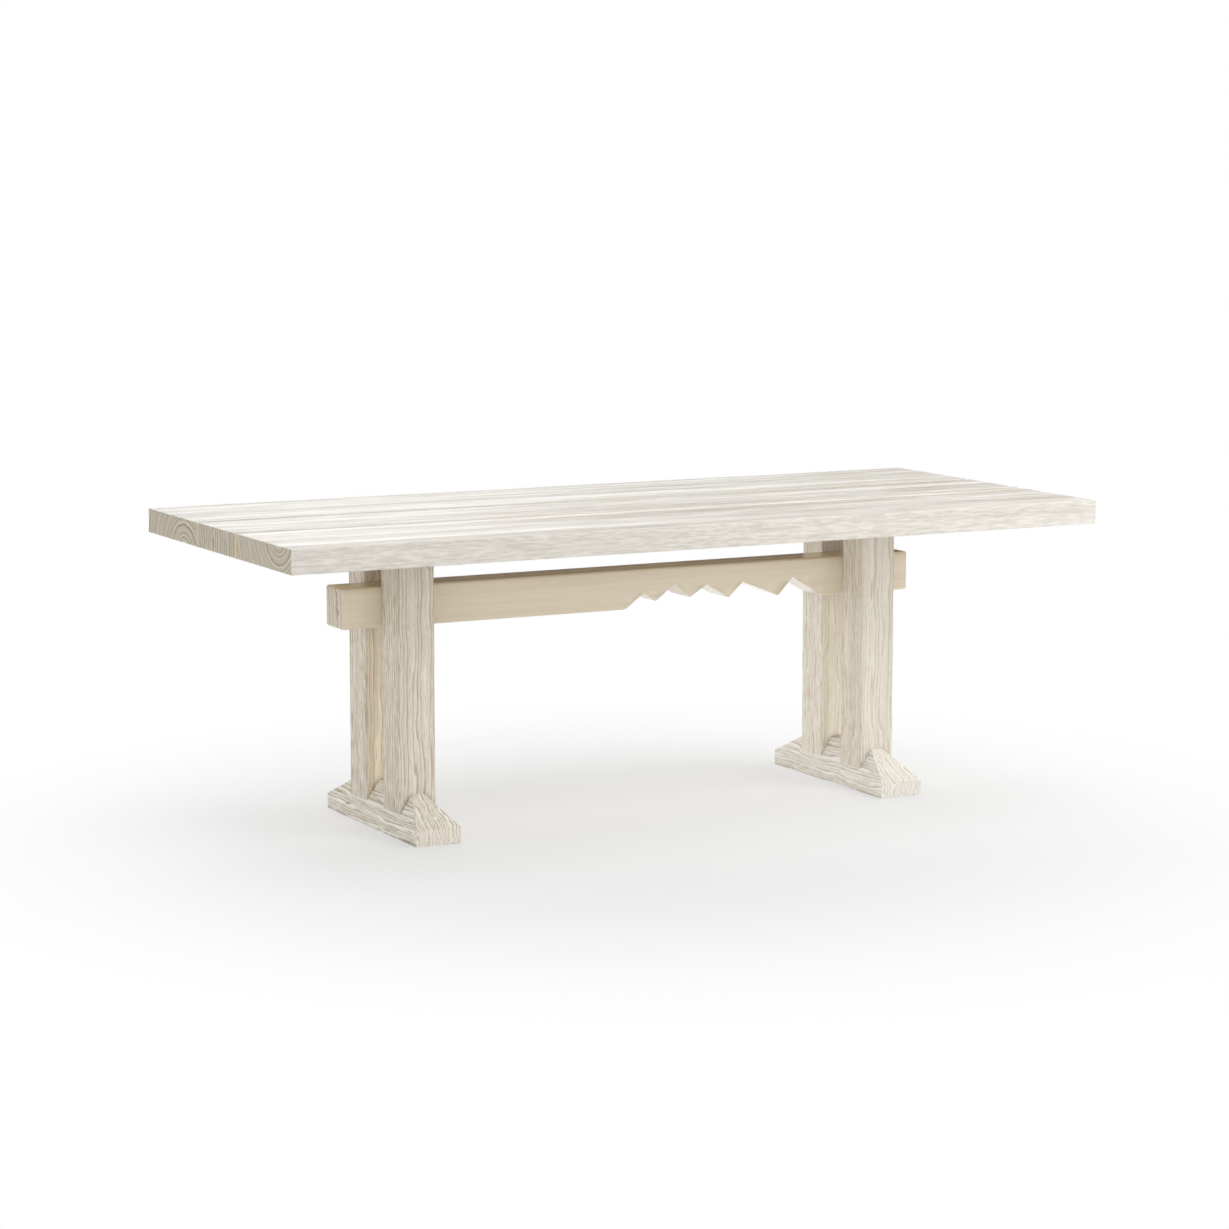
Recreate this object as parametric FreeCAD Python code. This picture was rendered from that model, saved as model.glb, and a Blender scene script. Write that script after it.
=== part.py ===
import FreeCAD, Part
import math
import os

# Trestle dining table. Millimetres, +Z up, +X along the length, +Y to the rear.
# The origin lies on the floor under the middle of the top.

Vector = FreeCAD.Vector

# Top: three planks with a fillet in each of the two joints
table_height = 760.0
top_length = 2200.0
top_thickness = 60.0
middle_plank_width = 230.0
outer_plank_width = 332.5
fillet_width = 20.0
fillet_recess = 2.0
plank_ease = 2.0
fillet_ease = 1.0

# Dowels through the fillets, hidden in the neighbouring planks
plank_dowel_diameter = 12.0
plank_dowel_reach = 45.0
plank_dowel_count = 8
plank_dowel_end_distance = 130.0

# Trestles: two posts each, the stretcher between them
trestle_spacing = 1300.0
post_width = 95.0
post_depth = 100.0
post_ease = 1.5

# Post tenons, in the bearer above and in the foot below
tenon_width = 35.0
upper_tenon_shoulder = 20.0
lower_tenon_shoulder = 15.0
tenon_end_gap = 1.0

# Feet: upright sides, then four hip slopes up to a flat ridge as long as the pair of posts
foot_height = 105.0
foot_side_height = 39.0
foot_ridge_width = 31.0
foot_ledge = 11.5
foot_toe = 122.5
foot_ease = 1.5
foot_mortise_floor = 30.0

# Bearers across the planks, flat under the posts and tapered upwards to their ends
bearer_height = 40.0
bearer_end_height = 15.0
bearer_shoulder = 20.0
bearer_length = 700.0

# Stretcher through both trestles, with a jagged edge cut into the right half of its underside
stretcher_thickness = 100.0
stretcher_height = 100.0
stretcher_drop = 60.0
stretcher_overhang = 102.5
stretcher_ease = 4.0
# Each pair is a share of the clear span from the left trestle and a share of the stretcher's height
zigzag_shares = (
    (0.473, 0.0), (0.518, 0.400), (0.546, 0.169), (0.591, 0.577), (0.627, 0.205), (0.668, 0.501),
    (0.720, 0.128), (0.755, 0.502), (0.841, 0.088), (0.877, 0.537), (0.951, 0.0),
)

# Knock-down bolts from the rear post through the stretcher into an insert in the front post
bolt_diameter = 10.0
bolt_head_diameter = 16.0
bolt_head_height = 10.0
bolt_socket_across = 8.0
bolt_socket_depth = 5.0
bolt_socket_sides = 6
bolt_edge_distance = 28.0
bolt_tip_reach = 32.0
bolt_pocket_diameter = 26.0
bolt_pocket_depth = 18.0
bolt_washer_diameter = 22.0
bolt_washer_thickness = 2.0
insert_diameter = 16.0
insert_length = 25.0

# Screws from the bearers up into the planks, in slots that let the outer planks move
screw_diameter = 6.0
screw_head_diameter = 11.0
screw_head_height = 4.0
screw_reach = 38.0
screw_tip_length = 7.0
screw_seat_thickness = 12.0
screw_from_post = 50.0
screw_from_bearer_end = 40.0
screw_slot_play = 8.0
screw_pocket_diameter = 20.0
screw_washer_diameter = 16.0
screw_washer_thickness = 1.5

# Fits
glue_gap = 0.15
bolt_gap = 0.4
thread_gap = 0.1
overrun = 5.0

# Places worked out from the sizes above
underside = table_height - top_thickness
joint_inner = middle_plank_width / 2
joint_outer = joint_inner + fillet_width
top_edge = joint_outer + outer_plank_width
gap_half_depth = stretcher_thickness / 2
leg_half_depth = gap_half_depth + post_depth
bearer_bottom = underside - bearer_height
foot_width = post_width + 2 * foot_ledge
foot_length = 2 * (leg_half_depth + foot_toe)
stretcher_top = bearer_bottom - stretcher_drop
stretcher_bottom = stretcher_top - stretcher_height
stretcher_half_length = (trestle_spacing + post_width) / 2 + stretcher_overhang
bolt_head_seat = leg_half_depth - bolt_pocket_depth + bolt_washer_thickness
bolt_levels = (stretcher_bottom + bolt_edge_distance, stretcher_top - bolt_edge_distance)
screw_seat = underside - screw_seat_thickness
screw_head_seat = screw_seat - screw_washer_thickness
outer_screw_rows = (leg_half_depth + screw_from_post, bearer_length / 2 - screw_from_bearer_end)
trestle_places = {"left": -trestle_spacing / 2, "right": trestle_spacing / 2}
side_signs = {"front": -1, "rear": 1}
rearward = Vector(0, 1, 0)
forward = Vector(0, -1, 0)
upward = Vector(0, 0, 1)


def block(low_x, high_x, low_y, high_y, low_z, high_z):
    """Plain block between its low and high faces."""
    return Part.makeBox(high_x - low_x, high_y - low_y, high_z - low_z, Vector(low_x, low_y, low_z))


def eased_block(low_x, high_x, low_y, high_y, low_z, high_z, ease):
    """Block with every edge taken off at 45 degrees."""
    plain = block(low_x, high_x, low_y, high_y, low_z, high_z)
    return plain.makeChamfer(ease, plain.Edges)


def prism(points, sweep):
    """Solid swept in a straight line from a closed outline."""
    return Part.Face(Part.makePolygon(points + points[:1])).extrude(sweep)


def rod(diameter, length, start, direction):
    """Round bar from its start point along a direction."""
    return Part.makeCylinder(diameter / 2, length, start, direction)


def ring(outer_diameter, bore_diameter, length, start, direction):
    """Round bar with a bore right through it."""
    return rod(outer_diameter, length, start, direction).cut(rod(bore_diameter, length, start, direction))


def level_rectangle(width, length, x, z):
    """Level closed outline centred on the trestle, one section of a foot."""
    half_width = width / 2
    half_length = length / 2
    corners = [
        Vector(x - half_width, -half_length, z),
        Vector(x + half_width, -half_length, z),
        Vector(x + half_width, half_length, z),
        Vector(x - half_width, half_length, z),
    ]
    return Part.makePolygon(corners + corners[:1])


def plank_dowels(sign, gap):
    """Dowels of one plank joint, grown by the gap where they cut their own holes."""
    span = top_length - 2 * plank_dowel_end_distance
    step = span / (plank_dowel_count - 1)
    diameter = plank_dowel_diameter + 2 * gap
    length = fillet_width + 2 * (plank_dowel_reach + gap)
    start_y = sign * (joint_inner + joint_outer) / 2 - length / 2
    start_z = underside + top_thickness / 2
    dowels = []
    for index in range(plank_dowel_count):
        start_x = step * index - span / 2
        dowels.append(rod(diameter, length, Vector(start_x, start_y, start_z), rearward))
    return Part.makeCompound(dowels)


def screw_rows():
    """Each screw's place across the table, with the play of its slot."""
    rows = [(0, 0)]
    for row in outer_screw_rows:
        rows += [(-row, screw_slot_play), (row, screw_slot_play)]
    return rows


def top_screw(x, y):
    """Pan-head screw that points up, its head under a washer."""
    head_start = Vector(x, y, screw_head_seat - screw_head_height)
    shank_start = Vector(x, y, screw_head_seat)
    tip_start = Vector(x, y, underside + screw_reach - screw_tip_length)
    head = rod(screw_head_diameter, screw_head_height, head_start, upward)
    shank = rod(screw_diameter, tip_start.z - shank_start.z, shank_start, upward)
    tip = Part.makeCone(screw_diameter / 2, 0, screw_tip_length, tip_start, upward)
    return head.fuse([shank, tip]).removeSplitter()


def screw_washer(x, y):
    """Washer between a screw head and its seat in the bearer."""
    bore = screw_diameter + 2 * bolt_gap
    start = Vector(x, y, screw_head_seat)
    return ring(screw_washer_diameter, bore, screw_washer_thickness, start, upward)


def screw_pilot(x, y):
    """Cutter for a screw's hole in a plank."""
    length = overrun + screw_reach + thread_gap
    return rod(screw_diameter + 2 * thread_gap, length, Vector(x, y, underside - overrun), upward)


def upright_slot(diameter, play, x, y, low_z, high_z):
    """Cutter for a hole stretched by the play across the table, or a round one where there is no play."""
    height = high_z - low_z
    front_end = rod(diameter, height, Vector(x, y - play / 2, low_z), upward)
    if play == 0:
        return front_end
    rear_end = rod(diameter, height, Vector(x, y + play / 2, low_z), upward)
    middle = block(x - diameter / 2, x + diameter / 2, y - play / 2, y + play / 2, low_z, high_z)
    return front_end.fuse([rear_end, middle]).removeSplitter()


def stretcher_bolt(x, z):
    """Socket-head bolt that points forward, its head in the rear post's pocket."""
    seat = Vector(x, bolt_head_seat, z)
    socket_floor = Vector(x, bolt_head_seat + bolt_head_height - bolt_socket_depth, z)
    corner_angle = 2 * math.pi / bolt_socket_sides
    corner_radius = bolt_socket_across / 2 / math.cos(corner_angle / 2)
    corners = []
    for index in range(bolt_socket_sides):
        angle = corner_angle * index
        corners.append(socket_floor + Vector(math.cos(angle), 0, math.sin(angle)) * corner_radius)
    socket = prism(corners, rearward * bolt_head_height)
    head = rod(bolt_head_diameter, bolt_head_height, seat, rearward).cut(socket)
    shank = rod(bolt_diameter, bolt_head_seat + gap_half_depth + bolt_tip_reach, seat, forward)
    return head.fuse(shank).removeSplitter()


def bolt_washer(x, z):
    """Washer between a bolt head and the floor of its pocket."""
    bore = bolt_diameter + 2 * bolt_gap
    return ring(bolt_washer_diameter, bore, bolt_washer_thickness, Vector(x, bolt_head_seat, z), forward)


def threaded_insert(x, z):
    """Bushing in the front post that the bolt screws into."""
    start = Vector(x, -gap_half_depth, z)
    return ring(insert_diameter, bolt_diameter + 2 * thread_gap, insert_length, start, forward)


def bolt_path(x, z):
    """Cutter for a bolt's hole, from the rear post to just past its tip."""
    length = leg_half_depth + overrun + gap_half_depth + bolt_tip_reach + bolt_gap
    return rod(bolt_diameter + 2 * bolt_gap, length, Vector(x, leg_half_depth + overrun, z), forward)


def bolt_pocket(x, z):
    """Cutter for the pocket that takes a bolt's head and washer."""
    length = overrun + bolt_pocket_depth
    return rod(bolt_pocket_diameter, length, Vector(x, leg_half_depth + overrun, z), forward)


def insert_hole(x, z):
    """Cutter for an insert's hole in the front post."""
    length = overrun + insert_length + glue_gap
    return rod(insert_diameter + 2 * glue_gap, length, Vector(x, overrun - gap_half_depth, z), forward)


def at_each_bolt(make):
    """One solid per bolt, two bolts to a trestle."""
    return [make(x, z) for x in trestle_places.values() for z in bolt_levels]


def at_each_screw(make):
    """One solid per screw along both bearers."""
    return [make(x, y) for x in trestle_places.values() for y, _ in screw_rows()]


def plank(low_y, high_y, joint_signs):
    """Plank with eased edges, drilled for the dowels of its joints and the screws below it."""
    blank = eased_block(-top_length / 2, top_length / 2, low_y, high_y, underside, table_height, plank_ease)
    dowel_holes = [plank_dowels(sign, glue_gap) for sign in joint_signs]
    return blank.cut(dowel_holes + at_each_screw(screw_pilot))


def fillet(sign):
    """Strip between two planks, a little below their faces, with the dowels through it."""
    near, far = sorted((sign * joint_inner, sign * joint_outer))
    half_length = top_length / 2
    face = table_height - fillet_recess
    strip = eased_block(-half_length, half_length, near, far, underside, face, fillet_ease)
    return strip.cut(plank_dowels(sign, glue_gap))


def foot_blank(x):
    """Foot before it is mortised: an upright base under a roof with four hips, all its edges eased."""
    half_width = foot_width / 2
    base = block(x - half_width, x + half_width, -foot_length / 2, foot_length / 2, 0, foot_side_height)
    eaves = level_rectangle(foot_width, foot_length, x, foot_side_height)
    ridge = level_rectangle(foot_ridge_width, 2 * leg_half_depth, x, foot_height)
    roof = Part.makeLoft([eaves, ridge], True, True)
    sharp = base.fuse(roof).removeSplitter()
    return sharp.makeChamfer(foot_ease, sharp.Edges)


def tenon(x, sign, shoulder, gap, low_z, high_z):
    """Tenon in the middle of a post, grown by the gap where it cuts its own mortise."""
    half_width = tenon_width / 2 + gap
    half_depth = post_depth / 2 - shoulder + gap
    middle_y = sign * (gap_half_depth + leg_half_depth) / 2
    return block(x - half_width, x + half_width, middle_y - half_depth, middle_y + half_depth, low_z, high_z)


def post(x, sign):
    """Post with eased corners, coped over the foot's roof and tenoned at both ends."""
    half_width = post_width / 2
    near, far = sorted((sign * gap_half_depth, sign * leg_half_depth))
    outline = [
        Vector(x - half_width + post_ease, near, foot_side_height),
        Vector(x + half_width - post_ease, near, foot_side_height),
        Vector(x + half_width, near + post_ease, foot_side_height),
        Vector(x + half_width, far - post_ease, foot_side_height),
        Vector(x + half_width - post_ease, far, foot_side_height),
        Vector(x - half_width + post_ease, far, foot_side_height),
        Vector(x - half_width, far - post_ease, foot_side_height),
        Vector(x - half_width, near + post_ease, foot_side_height),
    ]
    shaft = prism(outline, upward * (bearer_bottom - foot_side_height)).cut(foot_blank(x))
    lower = tenon(x, sign, lower_tenon_shoulder, 0, foot_mortise_floor + tenon_end_gap, bearer_bottom)
    upper = tenon(x, sign, upper_tenon_shoulder, 0, foot_height, underside - tenon_end_gap)
    return shaft.fuse([lower, upper]).removeSplitter()


def front_post(x):
    """Front post, bored from the stretcher's side for the inserts and bolt tips."""
    holes = [cutter(x, z) for z in bolt_levels for cutter in (bolt_path, insert_hole)]
    return post(x, side_signs["front"]).cut(holes)


def rear_post(x):
    """Rear post, bored right through with a pocket for each bolt head."""
    holes = [cutter(x, z) for z in bolt_levels for cutter in (bolt_path, bolt_pocket)]
    return post(x, side_signs["rear"]).cut(holes)


def foot(x):
    """Foot with a blind mortise for each post."""
    mortises = [
        tenon(x, sign, lower_tenon_shoulder, glue_gap, foot_mortise_floor, foot_height + overrun)
        for sign in side_signs.values()
    ]
    return foot_blank(x).cut(mortises)


def bearer(x):
    """Bearer with tapered ends, mortised for the posts and slotted for the screws."""
    half_length = bearer_length / 2
    flat = leg_half_depth + bearer_shoulder
    left_face = x - post_width / 2
    outline = [
        Vector(left_face, -half_length, underside),
        Vector(left_face, -half_length, underside - bearer_end_height),
        Vector(left_face, -flat, bearer_bottom),
        Vector(left_face, flat, bearer_bottom),
        Vector(left_face, half_length, underside - bearer_end_height),
        Vector(left_face, half_length, underside),
    ]
    cuts = [
        tenon(x, sign, upper_tenon_shoulder, glue_gap, bearer_bottom - overrun, underside + overrun)
        for sign in side_signs.values()
    ]
    for y, play in screw_rows():
        shank_slot = screw_diameter + 2 * bolt_gap
        cuts.append(upright_slot(shank_slot, play, x, y, bearer_bottom, underside + overrun))
        cuts.append(upright_slot(screw_pocket_diameter, play, x, y, bearer_bottom - overrun, screw_seat))
    return prism(outline, Vector(post_width, 0, 0)).cut(cuts)


def zigzag_cutter():
    """Cutter for the jagged edge, open below and wider than the stretcher."""
    span = trestle_spacing - post_width
    front_y = -gap_half_depth - overrun
    outline = [
        Vector(span * along_share - span / 2, front_y, stretcher_bottom + stretcher_height * rise_share)
        for along_share, rise_share in zigzag_shares
    ]
    below = stretcher_bottom - overrun
    outline += [Vector(outline[-1].x, front_y, below), Vector(outline[0].x, front_y, below)]
    return prism(outline, rearward * (stretcher_thickness + 2 * overrun))


def stretcher():
    """Stretcher with eased edges, the jagged edge and the bolt holes."""
    beam = eased_block(-stretcher_half_length, stretcher_half_length, -gap_half_depth, gap_half_depth,
                       stretcher_bottom, stretcher_top, stretcher_ease)
    return beam.cut([zigzag_cutter()] + at_each_bolt(bolt_path))


nodes = {
    "top_plank_front": plank(-top_edge, -joint_outer, (side_signs["front"],)),
    "top_plank_middle": plank(-joint_inner, joint_inner, side_signs.values()),
    "top_plank_rear": plank(joint_outer, top_edge, (side_signs["rear"],)),
    "stretcher": stretcher(),
    "stretcher_bolts": Part.makeCompound(at_each_bolt(stretcher_bolt)),
    "bolt_washers": Part.makeCompound(at_each_bolt(bolt_washer)),
    "threaded_inserts": Part.makeCompound(at_each_bolt(threaded_insert)),
    "top_screws": Part.makeCompound(at_each_screw(top_screw)),
    "screw_washers": Part.makeCompound(at_each_screw(screw_washer)),
}
for side, sign in side_signs.items():
    nodes["fillet_" + side] = fillet(sign)
    nodes["plank_dowels_" + side] = plank_dowels(sign, 0)
for place, x in trestle_places.items():
    nodes["foot_" + place] = foot(x)
    nodes["post_" + place + "_front"] = front_post(x)
    nodes["post_" + place + "_rear"] = rear_post(x)
    nodes["bearer_" + place] = bearer(x)

os.makedirs("parts", exist_ok=True)
for name, shape in nodes.items():
    shape.exportStep("parts/" + name + ".step")
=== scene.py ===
"""Pale limed trestle dining table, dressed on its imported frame. Metres, +Z up, +X along the top."""

import logging
import math
from dataclasses import dataclass, replace
from enum import Enum
from typing import ClassVar, Dict, List, Optional, Sequence, Tuple, Union

import bmesh
import bpy
import numpy as np
from mathutils import Euler, Matrix, Vector

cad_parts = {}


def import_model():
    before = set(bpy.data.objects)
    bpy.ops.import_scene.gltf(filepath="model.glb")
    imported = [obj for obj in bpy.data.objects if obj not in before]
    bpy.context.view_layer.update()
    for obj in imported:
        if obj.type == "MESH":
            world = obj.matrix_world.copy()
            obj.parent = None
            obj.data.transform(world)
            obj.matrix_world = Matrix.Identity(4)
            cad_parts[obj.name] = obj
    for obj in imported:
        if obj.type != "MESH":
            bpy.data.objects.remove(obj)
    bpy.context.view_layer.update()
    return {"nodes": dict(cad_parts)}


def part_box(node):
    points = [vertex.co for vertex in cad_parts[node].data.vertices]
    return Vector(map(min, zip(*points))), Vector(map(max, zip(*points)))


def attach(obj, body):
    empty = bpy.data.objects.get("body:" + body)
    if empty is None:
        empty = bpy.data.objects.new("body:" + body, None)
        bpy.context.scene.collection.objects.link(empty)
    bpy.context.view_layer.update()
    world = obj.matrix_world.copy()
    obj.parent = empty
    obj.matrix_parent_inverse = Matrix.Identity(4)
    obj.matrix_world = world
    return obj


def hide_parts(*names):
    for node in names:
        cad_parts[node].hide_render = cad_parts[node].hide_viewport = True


LOG = logging.getLogger("trestle_table")
BODY = "root"
FULL_TURN = 2 * math.pi
MERGE_DISTANCE = 0.00002

Colour = Tuple[float, float, float]
Point = Tuple[float, float, float]
Input = Union[float, Sequence[float], bpy.types.NodeSocket]
Values = Union[float, np.ndarray]


class Grain(Enum):
    """Direction of a piece's fibres, as the turn that lays them along the log's own X axis."""

    LENGTHWISE = (0.0, 0.0, 0.0)
    CROSSWISE = (0.0, 0.0, -math.pi / 2)
    UPRIGHT = (0.0, math.pi / 2, 0.0)


class Axis(Enum):
    """Direction across which a mesh is cut into strips."""

    X = 0
    Y = 1
    Z = 2


class Trestle(Enum):
    """One of the two trestles."""

    LEFT = "left"
    RIGHT = "right"


class Row(Enum):
    """Front or rear, for posts and plank joints."""

    FRONT = "front"
    REAR = "rear"


class Graph:
    """A node tree with short calls for the nodes that the finishes use."""

    # A Mix node has its own pair of inputs and its own output for each data type.
    mix_sockets = {"FLOAT": (2, 3, 0), "VECTOR": (4, 5, 1), "RGBA": (6, 7, 2)}

    def __init__(self, tree: bpy.types.NodeTree) -> None:
        """Keep the tree and empty it.

        Args:
            tree: the tree of a material, a world or a group.
        """
        self.tree = tree
        tree.nodes.clear()

    def node(self, kind: str, **settings: object) -> bpy.types.Node:
        """Add a node.

        Args:
            kind: Blender's name of the node type.
            settings: properties to set on the node.

        Returns:
            The new node.
        """
        made = self.tree.nodes.new(kind)
        for name, value in settings.items():
            setattr(made, name, value)
        return made

    def feed(self, socket: bpy.types.NodeSocket, value: Input) -> None:
        """Give an input socket a link or a plain value.

        Args:
            socket: the input to feed.
            value: an output socket, a number, a vector or a colour.
        """
        if isinstance(value, bpy.types.NodeSocket):
            self.tree.links.new(value, socket)
            return
        if socket.type == "RGBA" and len(value) == 3:
            value = (*value, 1.0)
        socket.default_value = value

    def group(self, tree: bpy.types.NodeTree, values: Dict[str, Input]) -> bpy.types.NodeOutputs:
        """Place a node group.

        Args:
            tree: the group.
            values: input name to a link or a plain value.

        Returns:
            The group's outputs.
        """
        made = self.node("ShaderNodeGroup", node_tree=tree)
        for name, value in values.items():
            self.feed(made.inputs[name], value)
        return made.outputs

    def show(self, shader: bpy.types.Node, output: str = "ShaderNodeOutputMaterial") -> None:
        """Send a shader to a new output node of the named type."""
        self.feed(self.node(output).inputs["Surface"], shader.outputs[0])

    def math(self, operation: str, *values: Input) -> bpy.types.NodeSocket:
        """Add a Math node.

        Args:
            operation: Blender's name of the operation.
            values: its one to three operands.

        Returns:
            The result.
        """
        made = self.node("ShaderNodeMath", operation=operation)
        for socket, value in zip(made.inputs, values):
            self.feed(socket, value)
        return made.outputs[0]

    def vector_math(self, operation: str, *values: Input) -> bpy.types.NodeOutputs:
        """Add a Vector Math node.

        Args:
            operation: Blender's name of the operation.
            values: its operands.

        Returns:
            Its outputs.
        """
        made = self.node("ShaderNodeVectorMath", operation=operation)
        for socket, value in zip(made.inputs, values):
            self.feed(socket, value)
        return made.outputs

    def dot(self, first: Input, second: Input) -> bpy.types.NodeSocket:
        """Return the dot product of two vectors."""
        return self.vector_math("DOT_PRODUCT", first, second)["Value"]

    def smooth(self, value: Input, low: Input, high: Input) -> bpy.types.NodeSocket:
        """Smooth step of a value.

        Args:
            value: the value to grade.
            low: where the step begins.
            high: where the step ends.

        Returns:
            0 at low, 1 at high.
        """
        made = self.node("ShaderNodeMapRange", interpolation_type="SMOOTHSTEP")
        self.feed(made.inputs["Value"], value)
        self.feed(made.inputs["From Min"], low)
        self.feed(made.inputs["From Max"], high)
        return made.outputs["Result"]

    def blended(self, kind: str, values: Sequence[Input], **settings: object) -> bpy.types.NodeSocket:
        """Add a Mix node.

        Args:
            kind: Blender's name of the data type.
            values: the share, what stands at 0 and what stands at 1.
            settings: properties to set on the node.

        Returns:
            The result.
        """
        made = self.node("ShaderNodeMix", data_type=kind, **settings)
        first, second, result = self.mix_sockets[kind]
        for place, value in zip((0, first, second), values):
            self.feed(made.inputs[place], value)
        return made.outputs[result]

    def span(self, share: Input, low: Input, high: Input) -> bpy.types.NodeSocket:
        """Return the number that lies a share of the way from low to high."""
        return self.blended("FLOAT", (share, low, high))

    def between(self, share: Input, first: Input, second: Input) -> bpy.types.NodeSocket:
        """Return the vector that lies a share of the way from the first to the second."""
        return self.blended("VECTOR", (share, first, second))

    def mix(self, share: Input, first: Input, second: Input, mode: str = "MIX") -> bpy.types.NodeSocket:
        """Return the first colour with a share of the second laid on it in a blend mode."""
        return self.blended("RGBA", (share, first, second), blend_type=mode)

    def noise(self, position: Input, stretch: Input, detail: float, roughness: float) -> bpy.types.NodeSocket:
        """Noise drawn out along the grain.

        Args:
            position: place in the log, with the fibres along X.
            stretch: cycles for each metre along and across the grain.
            detail: number of octaves.
            roughness: weight of the finer octaves.

        Returns:
            The noise, 0 to 1.
        """
        made = self.node("ShaderNodeTexNoise")
        self.feed(made.inputs["Vector"], self.vector_math("MULTIPLY", position, stretch)["Vector"])
        self.feed(made.inputs["Scale"], 1.0)
        self.feed(made.inputs["Detail"], detail)
        self.feed(made.inputs["Roughness"], roughness)
        return made.outputs["Fac"]


class GroupGraph(Graph):
    """A shader node group with named inputs and outputs."""

    def __init__(self, name: str, inputs: Dict[str, str], outputs: Dict[str, str]) -> None:
        """Make the group and its sockets.

        Args:
            name: the group's name.
            inputs: socket name to socket type.
            outputs: socket name to socket type.
        """
        super().__init__(bpy.data.node_groups.new(name, "ShaderNodeTree"))
        for socket, kind in inputs.items():
            self.tree.interface.new_socket(socket, in_out="INPUT", socket_type=kind)
        for socket, kind in outputs.items():
            self.tree.interface.new_socket(socket, in_out="OUTPUT", socket_type=kind)
        self.inputs = self.node("NodeGroupInput").outputs
        self.outputs = self.node("NodeGroupOutput").inputs


@dataclass(frozen=True)
class EndGrain:
    """How the growth rings lie on a piece's ends.

    Attributes:
        ring_pitch: mean width of a growth ring there.
        squash: how much the rings are drawn out in depth there.
        drop: how far the log's centre line lies lower there.
    """

    ring_pitch: float
    squash: float
    drop: float


@dataclass(frozen=True)
class Log:
    """How a piece lies in the log it was sawn from.

    Attributes:
        grain: direction of the fibres.
        pith: a point on the log's centre line.
        ring_pitch: mean width of a growth ring.
        sway: how far the centre line swings to either side.
        sway_length: length of one such swing along the grain.
        wander: how many rings the drawn lines stray from their true places.
        squash: how much the rings are drawn out in depth, 1 for round rings.
        start: distance along the log where the piece begins, so that no two pieces look alike.
        crossed: True where faces that cut the grain count rings sideways, and all others in depth.
        ends: the rings on the ends, None where they are as elsewhere.
    """

    grain: Grain
    pith: Point
    ring_pitch: float
    sway: float
    sway_length: float
    wander: float
    squash: float = 1.0
    start: float = 0.0
    crossed: bool = False
    ends: Optional[EndGrain] = None

    # A wave is a height, a frequency and a phase. The others are the limits of smooth steps.
    cut_range = (0.3, 0.45)
    end_range = (0.6, 0.92)
    uneven_waves = ((0.25, 1.9, 0.0), (0.2, 0.83, 1.0))
    side_waves = ((1.0, 1.0, 1.3), (0.5, 2.3, 0.4))
    depth_waves = ((0.7, 1.4, 2.0), (0.3, 3.1, 0.9))
    rise = (0.3, 0.8)
    fall = (0.86, 1.0)

    def placing(self) -> Matrix:
        """Place the table in the log.

        Returns:
            The matrix from the table's frame to the log's, with the fibres along X.
        """
        turn = Euler(self.grain.value)
        shift = Vector((self.start, 0.0, 0.0)) - turn.to_matrix() @ Vector(self.pith)
        return Matrix.LocRotScale(shift, turn, None)

    def moved(self, middle: Vector, start: float) -> "Log":
        """Move the log to a piece.

        Args:
            middle: middle of the piece, from which the log's pith is counted.
            start: distance along the log where the piece begins.

        Returns:
            The moved log.
        """
        return replace(self, pith=tuple(middle + Vector(self.pith)), start=start)

    def fibre(self) -> Vector:
        """Return the direction of the fibres in the table's frame."""
        return Euler(self.grain.value).to_matrix()[0]

    def ridge(self, points: np.ndarray, normals: np.ndarray) -> np.ndarray:
        """Height of the brushed wood at some points, by the same sums as the ring group.

        Args:
            points: places in the table's frame, one to a row.
            normals: direction of the surface at each place.

        Returns:
            0 in a groove and 1 on a ridge.
        """
        placing = np.array(self.placing())
        local = points @ placing[:3, :3].T + placing[:3, 3]
        turn = local[:, 0] * FULL_TURN / self.sway_length
        side = local[:, 1] + self.sway * sum(a * np.sin(f * turn + p) for a, f, p in self.side_waves)
        depth = local[:, 2] + self.sway * sum(a * np.sin(f * turn + p) for a, f, p in self.depth_waves)
        facing = np.abs(normals @ np.array(self.fibre()))
        pitch: Values = self.ring_pitch
        squash: Values = self.squash
        if self.crossed:
            cut = self.step(facing, *self.cut_range)
            side = side * cut
            squash = 1.0 - cut
        elif self.ends is not None:
            end = self.step(facing, *self.end_range)
            pitch = pitch + end * (self.ends.ring_pitch - pitch)
            squash = squash + end * (self.ends.squash - squash)
            depth = depth + end * self.ends.drop
        count = np.hypot(side, depth * squash) / pitch
        count = count + sum(a * np.sin(f * count + p) for a, f, p in self.uneven_waves)
        share = count - np.floor(count)
        return self.step(share, *self.rise) * (1.0 - self.step(share, *self.fall))

    @staticmethod
    def step(value: np.ndarray, low: float, high: float) -> np.ndarray:
        """Return the smooth step of each value from low to high."""
        share = np.clip((value - low) / (high - low), 0.0, 1.0)
        return share * share * (3.0 - 2.0 * share)


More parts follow.
